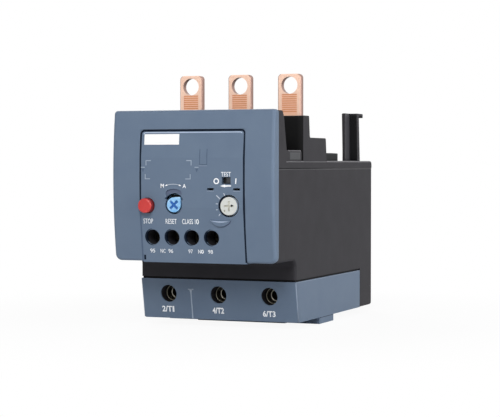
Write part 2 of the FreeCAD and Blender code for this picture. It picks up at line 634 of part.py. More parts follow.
def top_cover():
    """Lid with the stepped shroud round the pins, the backing of the front cover and two hooks."""
    plate = block((-BODY_HALF, BODY_HALF), (COVER_REAR, BODY_DEPTH), (SEAM_Z + 0.15, TOP_Z))
    plate = round_edges(plate, 1.8, lambda e, x, d, z: z > TOP_Z - 0.01 and d > BODY_DEPTH - 0.01)
    across = FreeCAD.Vector(0, 1, 0)
    plate = round_edges(plate, 0.6, lambda e, x, d, z: z > TOP_Z - 0.01 and abs(x) > BODY_HALF - 0.01 and along(e, across))
    backing = side_prism([(COVER_REAR + 0.1, 66.5), (COVER_REAR + 0.1, 88.0), (10.6, 88.0, 0.8), (12.1, 85.8, 1.5),
                          (16.0, TOP_Z), (16.0, 66.5)], (-BODY_HALF, BODY_HALF))
    cheek = side_prism([(14.0, 67.0), (14.0, 72.4), (31.5, 72.4, 0.8), (31.5, 67.0)], (-BODY_HALF, BODY_HALF))
    cheek = cut(cheek, [block((-INNER_HALF, INNER_HALF), (10, 33), (60, 80))])
    shroud = side_prism([(34.0, 67.0), (34.0, 86.65, 0.7), (40.8, 86.65, 0.7), (41.7, 77.75, 1.0), (61.2, 77.75, 1.0),
                         (62.4, 67.0)], (-BODY_HALF, BODY_HALF))
    step = side_prism([(63.8, 67.0), (63.8, 71.55, 0.6), (77.1, 71.55, 0.6), (77.1, 67.0)], (-31.8, 31.8))
    solids = [plate, backing, cheek, shroud, step]
    for side in (-1, 1):
        solids.append(hook(side))
    cover = fuse(solids)
    tongues = [block((-31.2, 31.2), (119.2, 120.1), (63.9, 67.0))]
    for side in (-1, 1):
        for depths in ((20.0, 31.5), (34.3, 120.1)):
            tongues.append(block(sorted((side * 31.2, side * 32.1)), depths, (63.9, 67.0)))
    panel_room = PANEL_HALF + 0.4
    pockets = [block((-panel_room, panel_room), (4, 15.4), (60, 67.0)),
               block((-panel_room, panel_room), (4, 9.0), (60, 82.0)),
               side_prism([(4, 70.0), (4, 86.2), (9.2, 86.2), (10.4, 84.6), (13.6, 70.0)], (-INNER_HALF, INNER_HALF)),
               block((-31.9, 31.9), (16.5, 100.0), (60, 66.2)),
               block((-29.6, 29.6), (65.6, 75.3), (60, 69.8))]
    for x in POLES:
        pockets.append(plan_prism(rect(around(x, 9.7), (36.4, 59.4)), (70.4, 95), 0.8))
        pockets.append(block(around(x, PIN_HALF + 0.3), (PIN_DEPTH[0] - 0.3, PIN_DEPTH[1] + 0.3), (60, 72)))
    return fuse([cut(cover, pockets)] + tongues)


def front_layer(depth):
    """Solid that lies the given depth under the terminal cover's leaning front."""
    return side_prism([(STRIP_DEPTH + depth, BLOCK_TOP), (28.7 + depth, FOOT_TOP), (36.0, FOOT_TOP), (36.0, BLOCK_TOP)],
                      (-30, 30))


def terminal_cover():
    """Lower shell round the box terminals, with driver holes, cable openings and a foot."""
    outer = [(STRIP_DEPTH, BLOCK_TOP), (28.7, FOOT_TOP), (53.6, FOOT_TOP), (53.6, 0), (71.1, 0), (71.1, FOOT_TOP),
             (LEG_DEPTH - 0.2, FOOT_TOP), (LEG_DEPTH - 0.2, BLOCK_TOP)]
    shell = side_prism(outer, (-BODY_HALF, BODY_HALF))
    shell = round_edges(shell, 1.5, lambda e, x, d, z: abs(x) > BODY_HALF - 0.01 and 26 < d < 28.6 and 5 < z < 18)
    hollow = side_prism([(27.9, BLOCK_TOP + 1), (30.5, 4.9), (104.4, 4.9), (104.4, BLOCK_TOP + 1)], (-INNER_HALF, INNER_HALF))
    rim = block((-INNER_HALF - 0.8, INNER_HALF + 0.8), (27.2, 105.2), (18.0, STRIP_BOTTOM - 0.02))
    pad = block((-20, 20), (51.0, 54.0), (0, FOOT_TOP + 1))
    shell = fuse([shell, rim, pad])
    shell = cut(shell, [hollow])
    ribs = []
    for d in (62.0, 83.0):
        ribs.append(block((-INNER_HALF - 0.5, INNER_HALF + 0.5), (d, d + 1.4), (4.0, 18.6)))
    shell = fuse([shell] + ribs)
    holes = []
    for x in POLES:
        holes.append(rod((x, TERMINAL_Z), (20, 36), TERMINAL_HOLE_R))
        holes.append(front_layer(0.8).common(rod((x, TERMINAL_Z), (24, 33), TERMINAL_HOLE_R + 1.0)))
        holes.append(plan_prism(rect(around(x, 8.4), (36.6, 50.2)), (0, 7), 1.5))
    return cut(shell, holes)


def terminal_carrier():
    """Insulating front wall behind the terminal cover, with a driver well for each screw and walls between poles."""
    wall = side_prism([(28.15, 19.2), (30.55, 5.0), (33.7, 5.0), (33.7, 19.2)], (0.1 - INNER_HALF, INNER_HALF - 0.1))
    fins = []
    for side in (-1, 1):
        fins.append(block(around(side * PARTITION_X, 0.7), (33.0, 61.8), (5.0, 18.6)))
    collars = []
    wells = []
    for x in POLES:
        collars.append(front_layer(0.95).common(rod((x, TERMINAL_Z), (24, 31), TERMINAL_HOLE_R + 0.85)))
        wells.append(rod((x, TERMINAL_Z), (24, 36), TERMINAL_HOLE_R))
    return cut(fuse([wall] + fins + collars), wells)


def build():
    PARTS["main_housing"] = main_housing()
    PARTS["top_cover"] = top_cover()
    PARTS["terminal_cover"] = terminal_cover()
    PARTS["terminal_carrier"] = terminal_carrier()
    PARTS["front_cover"] = front_cover()
    PARTS["control_panel"] = control_panel()
    PARTS["aux_block"] = aux_block()
    PARTS["stop_button"] = stop_button()
    PARTS["stop_spring"] = coil(STOP_AT, (3.85, 14.95), 1.65, 7, 0.4)
    PARTS["reset_button"] = reset_button()
    PARTS["reset_spring"] = coil(RESET_AT, (3.85, 9.45), 3.05, 4, 0.5)
    PARTS["mode_cam"] = mode_cam()
    PARTS["setting_dial"] = setting_dial()
    PARTS["setting_cam"] = setting_cam()
    PARTS["adjusting_lever"] = adjusting_lever()
    PARTS["compensation_strip"] = compensation_strip()
    PARTS["test_slide"] = test_slide()
    PARTS["test_spring"] = test_spring()
    PARTS["mechanism_frame"] = mechanism_frame()
    PARTS["frame_screws"] = frame_screws()
    PARTS["contact_carrier"] = contact_carrier()
    PARTS["nc_bridge"] = contact_bridge((AUX_X[0] + AUX_X[1]) / 2, 49.95, (-0.6, 0.4))
    PARTS["no_bridge"] = contact_bridge((AUX_X[2] + AUX_X[3]) / 2, 46.35, (0.4, 1.0))
    PARTS["aux_screws"] = aux_screws()
    PARTS["aux_clamps"] = aux_clamps()
    PARTS["trip_lever"] = trip_lever()
    PARTS["trip_slide"] = trip_slide()
    PARTS["differential_slide"] = differential_slide()
    PARTS["differential_lever"] = differential_lever()
    for i, number in enumerate((95, 96, 97, 98)):
        PARTS["contact_rail_%d" % number] = contact_rail(i)
    for i, x in enumerate(POLES):
        pole = i + 1
        PARTS["pin_%d" % pole] = pin(x)
        PARTS["heater_%d" % pole] = heater(x)
        PARTS["bimetal_%d" % pole] = bimetal(x)
        PARTS["busbar_%d" % pole] = busbar(x)
        PARTS["box_terminal_%d" % pole] = box_terminal(x)
        PARTS["terminal_screw_%d" % pole] = terminal_screw(x)


build()
for name, shape in PARTS.items():
    shape.exportStep("parts/%s.step" % name)
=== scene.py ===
import json
import math

import bmesh
import bpy
import numpy as np
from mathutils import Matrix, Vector


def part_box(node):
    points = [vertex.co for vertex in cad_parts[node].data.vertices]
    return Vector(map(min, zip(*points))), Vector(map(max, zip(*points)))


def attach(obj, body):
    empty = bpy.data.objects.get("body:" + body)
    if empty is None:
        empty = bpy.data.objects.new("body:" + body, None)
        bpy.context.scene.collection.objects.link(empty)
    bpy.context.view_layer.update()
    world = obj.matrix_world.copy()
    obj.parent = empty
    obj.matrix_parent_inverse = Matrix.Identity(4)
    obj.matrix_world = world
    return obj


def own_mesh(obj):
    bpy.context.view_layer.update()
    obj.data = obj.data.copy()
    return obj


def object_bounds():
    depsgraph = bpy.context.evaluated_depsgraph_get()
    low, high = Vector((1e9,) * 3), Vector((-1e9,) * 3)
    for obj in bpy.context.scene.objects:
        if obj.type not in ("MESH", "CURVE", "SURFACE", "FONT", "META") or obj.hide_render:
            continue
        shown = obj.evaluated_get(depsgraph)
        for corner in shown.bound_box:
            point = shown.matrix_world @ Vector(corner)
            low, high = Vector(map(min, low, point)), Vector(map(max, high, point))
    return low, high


# Thermal overload relay: moulded covers, copper pins, printed marks and a setting dial.
# Sizes are in millimetres and become metres through MM. Depth is counted from the front
# plane of the control panel towards the rear.

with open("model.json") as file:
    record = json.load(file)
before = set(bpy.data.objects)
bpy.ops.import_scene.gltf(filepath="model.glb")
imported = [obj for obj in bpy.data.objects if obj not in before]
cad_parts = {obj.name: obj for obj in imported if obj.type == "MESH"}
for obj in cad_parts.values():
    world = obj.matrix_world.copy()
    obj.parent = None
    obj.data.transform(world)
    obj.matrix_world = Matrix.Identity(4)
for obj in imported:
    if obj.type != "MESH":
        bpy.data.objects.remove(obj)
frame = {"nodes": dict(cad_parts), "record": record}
cad_box = [list(corner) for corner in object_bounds()]

MM = 0.001
NODES = frame["nodes"]
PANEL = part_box("control_panel")
FRONT_Y = PANEL[0][1]
SIDES = ((-1, "left"), (1, "right"))
HALF_BODY = 34.5             # half the width of the lower block and of the housing
INK_PROUD = 0.045            # how far the print stands above the plastic
INK_ROOT = 0.03              # how far it reaches below
PANEL_FOLDS = ((27.65, 49.65, 69.45, 80.35), (2.75, 0.0, 0.0, 1.15))      # heights, depths
FOOT_TOP, BLOCK_TOP = 2.75, 19.35
BLOCK_FOLDS = ((FOOT_TOP, BLOCK_TOP), (28.7, 25.6))                       # heights, depths
AUX_PITCH, AUX_HEIGHT = 8.58, 37.85
TERMINAL_HEIGHT = 13.15
STOP_AT, RESET_AT, DIAL_AT = (-19.2, 50.4), (-7.75, 50.75), (16.0, 50.5)  # across, height


def middle_across(node):
    """Middle of a node's box across, in millimetres."""
    low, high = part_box(node)
    return (low[0] + high[0]) / 2 / MM


POLES = [middle_across("pin_%d" % pole) for pole in (1, 2, 3)]
AUX_HOLES = [middle_across("aux_screws") + AUX_PITCH * (i - 1.5) for i in range(4)]


# ---------------------------------------------------------------- shapes

def panel_depth(z):
    """Depth of the panel's face: flat in the middle, one straight slope above and one below."""
    return np.interp(z, *PANEL_FOLDS)


def block_depth(z):
    """Depth of the lower block's face: one straight slope that leans forward at the top."""
    return np.interp(z, *BLOCK_FOLDS)


def level(depth):
    """Face that lies at one depth at every height."""
    return lambda z: np.full_like(z, depth)


def located(across, depth, height):
    """Point = (across, front plane plus depth, height), in metres."""
    return np.stack(np.broadcast_arrays(across * MM, FRONT_Y + depth * MM, height * MM), axis=-1)


def lay(across, height, proud, depth):
    """Point = (across, face depth at that height less proud, height), in metres."""
    return located(across, depth(height) - proud, height)


def span(side, near, far):
    """Low and high limit across of what reaches from near to far on one side of the middle."""
    return sorted((side * near, side * far))


def lens(thin, swell, count):
    """Widths of a lens-shaped stroke: thin at both ends plus swell times a half wave of the sine."""
    return thin + swell * np.sin(np.linspace(0, np.pi, count))


def solid(name, points, faces, body, finish, smooth=False):
    """A closed mesh from arrays, turned to face outwards, with its finish and its body."""
    mesh = bpy.data.meshes.new(name)
    mesh.from_pydata(points.reshape(-1, 3).tolist(), [], [list(map(int, f)) for f in faces])
    work = bmesh.new()
    work.from_mesh(mesh)
    bmesh.ops.remove_doubles(work, verts=work.verts, dist=1e-7)
    bmesh.ops.recalc_face_normals(work, faces=work.faces)
    work.to_mesh(mesh)
    work.free()
    mesh.polygons.foreach_set("use_smooth", [smooth] * len(mesh.polygons))
    mesh.materials.append(finish)
    piece = bpy.data.objects.new(name, mesh)
    bpy.context.scene.collection.objects.link(piece)
    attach(piece, body)
    return piece


def tube_faces(rows, columns, closed):
    """Quads between neighbouring sections, wrapped round each section, with both ends capped."""
    i, j = np.meshgrid(np.arange(rows if closed else rows - 1), np.arange(columns), indexing="ij")
    below, above = i * columns, (i + 1) % rows * columns
    side = (j + 1) % columns
    quads = np.stack([below + j, below + side, above + side, above + j], axis=-1).reshape(-1, 4)
    faces = list(quads)
    if not closed:
        faces += [np.arange(columns)[::-1], (rows - 1) * columns + np.arange(columns)]
    return faces


def ribbon(path, widths, closed=False):
    """Edges of a flat stroke: each point moved half a width along the mitred normal, to each side."""
    path = np.asarray(path, float)
    widths = np.broadcast_to(np.asarray(widths, float), len(path))
    after = np.roll(path, -1, axis=0) - path
    before = path - np.roll(path, 1, axis=0)
    if not closed:
        after[-1], before[0] = before[-1], after[0]
    unit = [v / np.linalg.norm(v, axis=1, keepdims=True) for v in (before, after)]
    normals = [np.stack([-v[:, 1], v[:, 0]], axis=1) for v in unit]
    middle = normals[0] + normals[1]
    middle /= np.linalg.norm(middle, axis=1, keepdims=True)
    reach = widths / 2 / np.maximum(np.sum(middle * normals[1], axis=1), 0.4)
    return path + middle * reach[:, None], path - middle * reach[:, None]


def stroke(name, path, widths, finish, depth=panel_depth, proud=INK_PROUD, closed=False,
           body="housing", root=INK_ROOT):
    """A rectangular section carried along a path on the face: left root, left top, right top, right root."""
    left, right = ribbon(path, widths, closed)
    section = [lay(edge[:, 0], edge[:, 1], rise, depth) for edge, rise in
               ((left, -root), (left, proud), (right, proud), (right, -root))]
    points = np.stack(section, axis=1)
    return solid(name, points, tube_faces(len(points), 4, closed), body, finish)


def arc(centre, radius, start, end, count):
    """Points of a circle's arc from start to end, in degrees; the radius may change from point to point."""
    turn = np.radians(np.linspace(start, end, count))
    return np.stack([centre[0] + radius * np.cos(turn), centre[1] + radius * np.sin(turn)], axis=1)


def outline_mesh(curve):
    """Points and faces of a flat filled curve or text, before its place is applied."""
    holder = bpy.data.objects.new("outline", curve)
    bpy.context.scene.collection.objects.link(holder)
    mesh = bpy.data.meshes.new_from_object(holder.evaluated_get(bpy.context.evaluated_depsgraph_get()))
    points = np.empty(len(mesh.vertices) * 3)
    mesh.vertices.foreach_get("co", points)
    faces = [list(p.vertices) for p in mesh.polygons]
    bpy.data.objects.remove(holder)
    bpy.data.meshes.remove(mesh)
    return points.reshape(-1, 3), faces


def lettering(name, words, across, heights, depth=panel_depth, bold=0.0):
    """Raised print: the letters' outline fills the given width and height, and lies on the face."""
    curve = bpy.data.curves.new(name, "FONT")
    curve.body = words
    curve.extrude = 0.5
    curve.offset = bold
    curve.resolution_u = 3
    points, faces = outline_mesh(curve)
    unit = (points - points.min(axis=0)) / np.ptp(points, axis=0)
    proud = unit[:, 2] * (INK_PROUD + INK_ROOT) - INK_ROOT
    (left, right), (low, high) = across, heights
    placed = lay(left + unit[:, 0] * (right - left), low + unit[:, 1] * (high - low), proud, depth)
    return solid(name, placed, faces, "housing", print_ink)


def corner(centre, radius, start, end, count=7):
    """Quarter turn of an outline, as a list of points."""
    return arc(centre, radius, start, end, count).tolist()


def bead(name, path, radius, finish, sides=12):
    """A round section carried along a path of (across, depth, height) points, square to its direction."""
    path = np.asarray(path, float)
    run = np.gradient(path, axis=0)
    run /= np.linalg.norm(run, axis=1, keepdims=True)
    first = np.cross(run, (0.577, 0.577, 0.577))
    first /= np.linalg.norm(first, axis=1, keepdims=True)
    second = np.cross(run, first)
    turn = np.radians(np.arange(sides) * 360 / sides)[None, :, None]
    points = path[:, None] + radius * (np.cos(turn) * first[:, None] + np.sin(turn) * second[:, None])
    points = points * MM + (0, FRONT_Y, 0)
    return solid(name, points, tube_faces(len(path), sides, False), "housing", finish, smooth=True)


def soft_box(name, low, high, radius, finish, lean=0.0):
    """Six grids of a cube, each point pulled to the radius round the nearest point of a smaller inner box.

    Lean moves each point in depth by that share of its height over the middle.
    """
    count = 9
    low, high = np.asarray(low, float), np.asarray(high, float)
    half = (high - low) / 2
    side = np.sin(np.linspace(-np.pi / 2, np.pi / 2, count))
    u, v = np.meshgrid(side, side, indexing="ij")
    points, faces = [], []
    for axis in range(3):
        for end in (-1.0, 1.0):
            face = np.empty((count, count, 3))
            face[..., axis] = end
            face[..., (axis + 1) % 3] = u
            face[..., (axis + 2) % 3] = v
            index = np.arange(count * count).reshape(count, count) + len(points) * count * count
            quads = np.stack([index[:-1, :-1], index[1:, :-1], index[1:, 1:], index[:-1, 1:]], axis=-1)
            points.append(face * half)
            faces.extend(quads.reshape(-1, 4))
    points = np.stack(points)
    core = np.clip(points, radius - half, half - radius)
    away = points - core
    points = core + away / np.linalg.norm(away, axis=-1, keepdims=True) * radius
    points[..., 1] += lean * points[..., 2]
    points += (low + high) / 2
    return solid(name, points * MM + (0, FRONT_Y, 0), faces, "housing", finish, smooth=True)


def turned(name, centre, profile, finish, body, count):
    """A profile of (radius, depth) pairs carried round an axis that runs front to rear through centre."""
    radius, depth = np.asarray(profile, float).T
    turn = np.radians(np.arange(count) * 360 / count)[:, None]
    points = located(centre[0] + radius * np.cos(turn), depth, centre[1] + radius * np.sin(turn))
    return solid(name, points, tube_faces(count, len(profile), True), body, finish, smooth=True)


def pierced_disc(name, centre, radius, arm, half, depths, finish, body):
    """Disc with an upright cross cut through it: twelve corners, arm from the middle and two halves wide."""
    cross = [(half, arm), (half, half), (arm, half)]
    quarters = ((1, 0), (0, -1), (-1, 0), (0, 1))
    outline = [(x * c - z * s, x * s + z * c) for c, s in quarters for x, z in cross]
    curve = bpy.data.curves.new(name, "CURVE")
    curve.dimensions = "2D"
    curve.fill_mode = "BOTH"
    curve.extrude = 0.5
    for ring in (arc((0, 0), radius, 0, 352.5, 48), np.array(outline)):
        spline = curve.splines.new("POLY")
        spline.points.add(len(ring) - 1)
        flat_points = np.column_stack([ring, np.zeros(len(ring)), np.ones(len(ring))])
        spline.points.foreach_set("co", flat_points.ravel())
        spline.use_cyclic_u = True
    flat, faces = outline_mesh(curve)
    placed = located(centre[0] + flat[:, 0], np.where(flat[:, 2] > 0, *depths), centre[1] + flat[:, 1])
    return solid(name, placed, faces, body, finish)


# ---------------------------------------------------------------- finishes

def hex_colour(code):
    """Linear colour from an sRGB hex code."""
    levels = np.array([int(code[i:i + 2], 16) for i in (1, 3, 5)]) / 255
    linear = np.where(levels <= 0.04045, levels / 12.92, ((levels + 0.055) / 1.055) ** 2.4)
    return (*linear.tolist(), 1.0)


def add(tree, kind, links=(), values=(), **settings):
    """A node with its settings, its socket values and the sockets that feed it."""
    node = tree.nodes.new(kind)
    for key, value in settings.items():
        setattr(node, key, value)
    for socket, value in dict(values).items():
        node.inputs[socket].default_value = value
    for socket, source in dict(links).items():
        tree.links.new(source, node.inputs[socket])
    return node


def start(name):
    """An empty material, with its tree and the Object coordinates every pattern reads."""
    material = bpy.data.materials.new(name)
    material.use_nodes = True
    tree = material.node_tree
    tree.nodes.clear()
    place = add(tree, "ShaderNodeTexCoord").outputs["Object"]
    return material, tree, place


def finish_off(tree, shader):
    """Joins the shader to the material's output."""
    add(tree, "ShaderNodeOutputMaterial", links={"Surface": shader.outputs[0]})


def two_tones(tree, factor, dark, light, first=0.3, last=0.7):
    """Ramp from a dark to a light colour, between two values of its factor."""
    ramp = add(tree, "ShaderNodeValToRGB", {"Fac": factor})
    for element, position, colour in zip(ramp.color_ramp.elements, (first, last), (dark, light)):
        element.position = position
        element.color = hex_colour(colour)
    return ramp


def moulded(name, dark, light, rough, grain_mm, grain_depth, sheen=0.5, cloud_mm=9.0):
    """Injection-moulded plastic: slow clouds of two near colours, and a fine eroded grain in the surface."""
    material, tree, place = start(name)
    cloud = add(tree, "ShaderNodeTexNoise", {"Vector": place}, {"Scale": 1 / (cloud_mm * MM), "Detail": 3.0})
    tint = two_tones(tree, cloud.outputs["Fac"], dark, light)
    grain = add(tree, "ShaderNodeTexNoise", {"Vector": place}, {"Scale": 1 / (grain_mm * MM), "Detail": 2.0})
    bump = add(tree, "ShaderNodeBump", {"Height": grain.outputs["Fac"]},
               {"Strength": grain_depth, "Distance": 0.05 * MM})
    gloss = add(tree, "ShaderNodeMapRange", {"Value": grain.outputs["Fac"]},
                {"To Min": rough - 0.05, "To Max": rough + 0.05})
    shader = add(tree, "ShaderNodeBsdfPrincipled",
                 {"Base Color": tint.outputs["Color"], "Roughness": gloss.outputs["Result"],
                  "Normal": bump.outputs["Normal"]}, {"IOR": 1.53, "Specular IOR Level": sheen})
    finish_off(tree, shader)
    return material


def metal(name, dark, light, rough, line_mm, stretch, relief):
    """Worked metal: brushed or drawn lines, stretched along one axis, vary its tone, gloss and relief."""
    material, tree, place = start(name)
    along = add(tree, "ShaderNodeMapping", {"Vector": place}, {"Scale": stretch})
    lines = add(tree, "ShaderNodeTexNoise", {"Vector": along.outputs["Vector"]},
                {"Scale": 1 / (line_mm * MM), "Detail": 4.0, "Roughness": 0.6})
    tint = two_tones(tree, lines.outputs["Fac"], dark, light)
    gloss = add(tree, "ShaderNodeMapRange", {"Value": lines.outputs["Fac"]},
                {"To Min": rough - 0.08, "To Max": rough + 0.08})
    bump = add(tree, "ShaderNodeBump", {"Height": lines.outputs["Fac"]},
               {"Strength": relief, "Distance": 0.03 * MM})
    shader = add(tree, "ShaderNodeBsdfPrincipled",
                 {"Base Color": tint.outputs["Color"], "Roughness": gloss.outputs["Result"],
                  "Normal": bump.outputs["Normal"]}, {"Metallic": 1.0})
    finish_off(tree, shader)
    return material


def stamped_copper():
    """Blanked copper blade: satin pinkish faces, faces that turn to the side darkened brown as painted shade,
    and a warmer grip whose grooves' floor is darkened orange as painted shade.
    """
    material, tree, place = start("copper_blanked_stamped")
    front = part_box("pin_1")[0][1]
    half_pitch = (POLES[1] - POLES[0]) / 2 * MM
    grip_top = 96.2 * MM
    grain = add(tree, "ShaderNodeTexNoise", {"Vector": place}, {"Scale": 1 / (1.6 * MM), "Detail": 3.0})
    face = two_tones(tree, grain.outputs["Fac"], "#F4CAB3", "#FBDAC6", 0.0, 1.0)

    # Painted shade: where the surface turns to the side, the colour goes to a duller brown.
    surface = add(tree, "ShaderNodeNewGeometry")
    normal = add(tree, "ShaderNodeSeparateXYZ", {"Vector": surface.outputs["Normal"]})
    across = add(tree, "ShaderNodeMath", {0: normal.outputs["X"]}, operation="ABSOLUTE")
    edge = add(tree, "ShaderNodeMapRange", {"Value": across.outputs[0]}, {"From Min": 0.05, "From Max": 0.3})
    side_painted_shade = add(tree, "ShaderNodeMix", {"Factor": edge.outputs["Result"], "A": face.outputs["Color"]},
                  {"B": hex_colour("#A8877C")}, data_type="RGBA")

    # The grip is the blade's lower middle, tinted warmer; its grooves' floor lies a little behind the front
    # and is darkened orange as painted shade.
    spot = add(tree, "ShaderNodeSeparateXYZ", {"Vector": place})
    pole = add(tree, "ShaderNodeMath", {0: spot.outputs["X"]}, {1: half_pitch, 2: -half_pitch},
               operation="WRAP")
    beside = add(tree, "ShaderNodeMath", {0: pole.outputs[0]}, operation="ABSOLUTE")
    within = add(tree, "ShaderNodeMapRange", {"Value": beside.outputs[0]},
                 {"From Min": 3.1 * MM, "From Max": 3.7 * MM, "To Min": 1.0, "To Max": 0.0})
    low = add(tree, "ShaderNodeMath", {0: spot.outputs["Z"]}, {1: grip_top}, operation="LESS_THAN")
    grip = add(tree, "ShaderNodeMath", {0: low.outputs[0], 1: within.outputs["Result"]}, operation="MULTIPLY")
    deep = add(tree, "ShaderNodeMapRange", {"Value": spot.outputs["Y"]},
               {"From Min": front + 0.08 * MM, "From Max": front + 0.16 * MM})
    shallow = add(tree, "ShaderNodeMath", {0: spot.outputs["Y"]}, {1: front + 0.4 * MM},
                  operation="LESS_THAN")
    bottom = add(tree, "ShaderNodeMath", {0: deep.outputs["Result"], 1: shallow.outputs[0]},
                 operation="MULTIPLY")
    groove = add(tree, "ShaderNodeMath", {0: bottom.outputs[0], 1: grip.outputs[0]}, operation="MULTIPLY")

    half = add(tree, "ShaderNodeMath", {0: grip.outputs[0]}, {1: 0.5}, operation="MULTIPLY")
    warm = add(tree, "ShaderNodeMix", {"Factor": half.outputs[0], "A": side_painted_shade.outputs["Result"]},
               {"B": hex_colour("#F4B48E")}, data_type="RGBA")
    tint = add(tree, "ShaderNodeMix", {"Factor": groove.outputs[0], "A": warm.outputs["Result"]},
               {"B": hex_colour("#E29C74")}, data_type="RGBA")
    gloss = add(tree, "ShaderNodeMapRange", {"Value": grain.outputs["Fac"]}, {"To Min": 0.36, "To Max": 0.48})
    shader = add(tree, "ShaderNodeBsdfPrincipled",
                 {"Base Color": tint.outputs["Result"], "Roughness": gloss.outputs["Result"]},
                 {"Metallic": 1.0})
    finish_off(tree, shader)
    return material


# Polyamide moulded in a spark-eroded tool: an even, quiet matt grey-blue.
cover_grey = moulded("polyamide_grey_blue_moulded", "#627389", "#66778C", 0.52, 0.45, 0.25, 0.3)
# The same grey a tone darker: painted shade in slits, along a joint and under marks.
painted_shade_grey = moulded("polyamide_grey_blue_slit", "#52627A", "#56667D", 0.6, 0.45, 0.2, 0.2)
# The grey a tone darker: painted shade on the ground of the thumb recess and under the thumb lug's foot.
recess_painted_shade = moulded("polyamide_grey_blue_recess", "#59637A", "#5D677E", 0.6, 0.45, 0.2, 0.2)
# The grey under the thumb lug, only a little darker: painted shade.
thumb_painted_shade = moulded("polyamide_grey_blue_thumb", "#5B6A80", "#5F6E84", 0.6, 0.45, 0.2, 0.2)
# A bright line of lighter grey: painted highlight on the panel's rounded edge and the thumb lug's ledge.
painted_highlight_edge = moulded("polyamide_grey_blue_edge", "#ACBBD3", "#B4C3DA", 0.4, 0.45, 0.1)
# Navy black: painted shade in the gap round the panel, beside the holes and the dial, and over the foot.
painted_gap_shade = moulded("polyamide_joint_dark", "#0D1726", "#111B2B", 0.7, 0.45, 0.1, 0.1)
# Glass-filled polyamide, moulded: a warm near-black that stays matt and shows its edges softly.
housing_black = moulded("glass_filled_polyamide_black", "#2E2D31", "#333236", 0.55, 0.4, 0.3, 0.12)
# A grey line along black edges: painted highlight.
black_painted_highlight = moulded("glass_filled_polyamide_edge", "#57565A", "#5D5C60", 0.45, 0.4, 0.2)
# The same painted highlight where it hardly stands out: a line only a tone above the black.
black_painted_highlight_soft = moulded("glass_filled_polyamide_edge_soft", "#38373B", "#3D3C40", 0.45, 0.4, 0.2)
# The same resin in a smoother tool, inside the unit: deeper black. It is also laid as painted shade on the
# reset collar, the rear step, the hooks' fronts and the lid seam.
frame_black = moulded("polyamide_black_inner", "#101113", "#151618", 0.5, 0.5, 0.2, 0.12)
# Near black: painted shade on the shroud's front and in the groove over the lower block.
painted_deep_shade = moulded("polyamide_black_shroud", "#0B0B0C", "#0F0F10", 0.6, 0.5, 0.2, 0.1)
# A lighter grey on the hooks' narrow ribs: painted light.
rib_painted_light = moulded("glass_filled_polyamide_rib", "#3A393E", "#3F3E43", 0.5, 0.4, 0.25)
# Moulded acetal in signal red: satin, with a soft highlight on the button's rim.
red_plastic = moulded("acetal_signal_red", "#C43230", "#CC3936", 0.34, 0.6, 0.08)
# A darker red round the button's flank: painted shade.
red_flank_painted_shade = moulded("acetal_signal_red_flank", "#7C1818", "#861C1B", 0.36, 0.6, 0.08, 0.3)
# Moulded acetal in light blue: satin and clean.
blue_plastic = moulded("acetal_light_blue", "#78B8EE", "#B2DDFF", 0.3, 0.6, 0.06, cloud_mm=2.2)
# The blue again, darker deep in the driver's cross: painted shade.
blue_painted_shade = moulded("acetal_blue_recess", "#1A56A2", "#2366B4", 0.4, 0.6, 0.06)
# Moulded acetal, off-white: satin and slightly warm.
dial_white = moulded("acetal_off_white", "#D0D2CE", "#D8DAD6", 0.36, 0.6, 0.08)
# The white again in its cross, a tone greyer: painted shade.
dial_cross_painted_shade = moulded("acetal_white_recess", "#BDBCAF", "#C5C4B8", 0.5, 0.6, 0.08)
# The white where a mark is pressed into it: a soiled beige.
dial_soil = moulded("acetal_white_soiled", "#A3A192", "#ACAA9C", 0.5, 0.6, 0.08)
# Moulded slider, dark: matt. It is also laid as painted shade on the shroud's cheeks.
slider_dark = moulded("polyamide_dark_slider", "#22252A", "#2B2E33", 0.45, 0.5, 0.2)
# Unfilled polyamide in its own colour: creamy and a little glossy.
natural_plastic = moulded("polyamide_natural", "#D5CBB1", "#DED5BD", 0.38, 0.7, 0.1)
# Screen-printed ink: even white with a dry surface.
print_ink = moulded("screen_print_white", "#F4F7FB", "#FCFDFF", 0.6, 0.3, 0.1)
# The same ink in the thinnest lines, where the grey shows through it.
fine_ink = moulded("screen_print_white_thin", "#BEC6D2", "#C8D0DB", 0.6, 0.3, 0.1)
# Pressed film label: bright plain white.
label_white = moulded("label_film_white", "#FCFCFC", "#FFFFFF", 0.5, 0.8, 0.04)
# Dark print in the dial's pointer: near black and dry.
print_dark = moulded("screen_print_dark", "#0E1116", "#14181D", 0.6, 0.3, 0.1)
# Faint raised line moulded into the grey, coloured a tone above it as painted highlight.
ridge_painted_highlight = moulded("polyamide_grey_blue_ridge", "#9AA7B8", "#A4B0C0", 0.5, 0.4, 0.1)
# The same painted highlight, fainter, on rounder lips and edges.
ridge_painted_highlight_soft = moulded("polyamide_grey_blue_ridge_soft", "#7F8DA1", "#8593A7", 0.5, 0.4, 0.1)

# Blanked and grooved copper: pinkish and satin; its grooves orange and its side-facing faces brown, both
# painted shade.
copper = stamped_copper()
# Silver-faced bronze strip: pale and soft in its gloss.
silver_contact = metal("bronze_strip_silver_faced", "#C9C6BC", "#DAD7CD", 0.3, 0.9, (0.15, 1.0, 1.0), 0.2)
# Resistance ribbon, drawn and lightly oxidised: greyish brown.
heater_alloy = metal("resistance_ribbon_drawn", "#857D72", "#9A9185", 0.42, 0.8, (1.0, 1.0, 0.2), 0.25)
# Rolled bimetal: cool grey with rolling lines up the strip.
bimetal_strip = metal("bimetal_rolled", "#9B968A", "#ACA79B", 0.34, 0.7, (1.0, 1.0, 0.1), 0.2)
# Zinc-plated steel: bluish grey with a faint yellow cast, satin.
zinc_steel = metal("steel_zinc_plated", "#B3B1A2", "#C9C7B8", 0.33, 0.9, (0.4, 1.0, 1.0), 0.2)
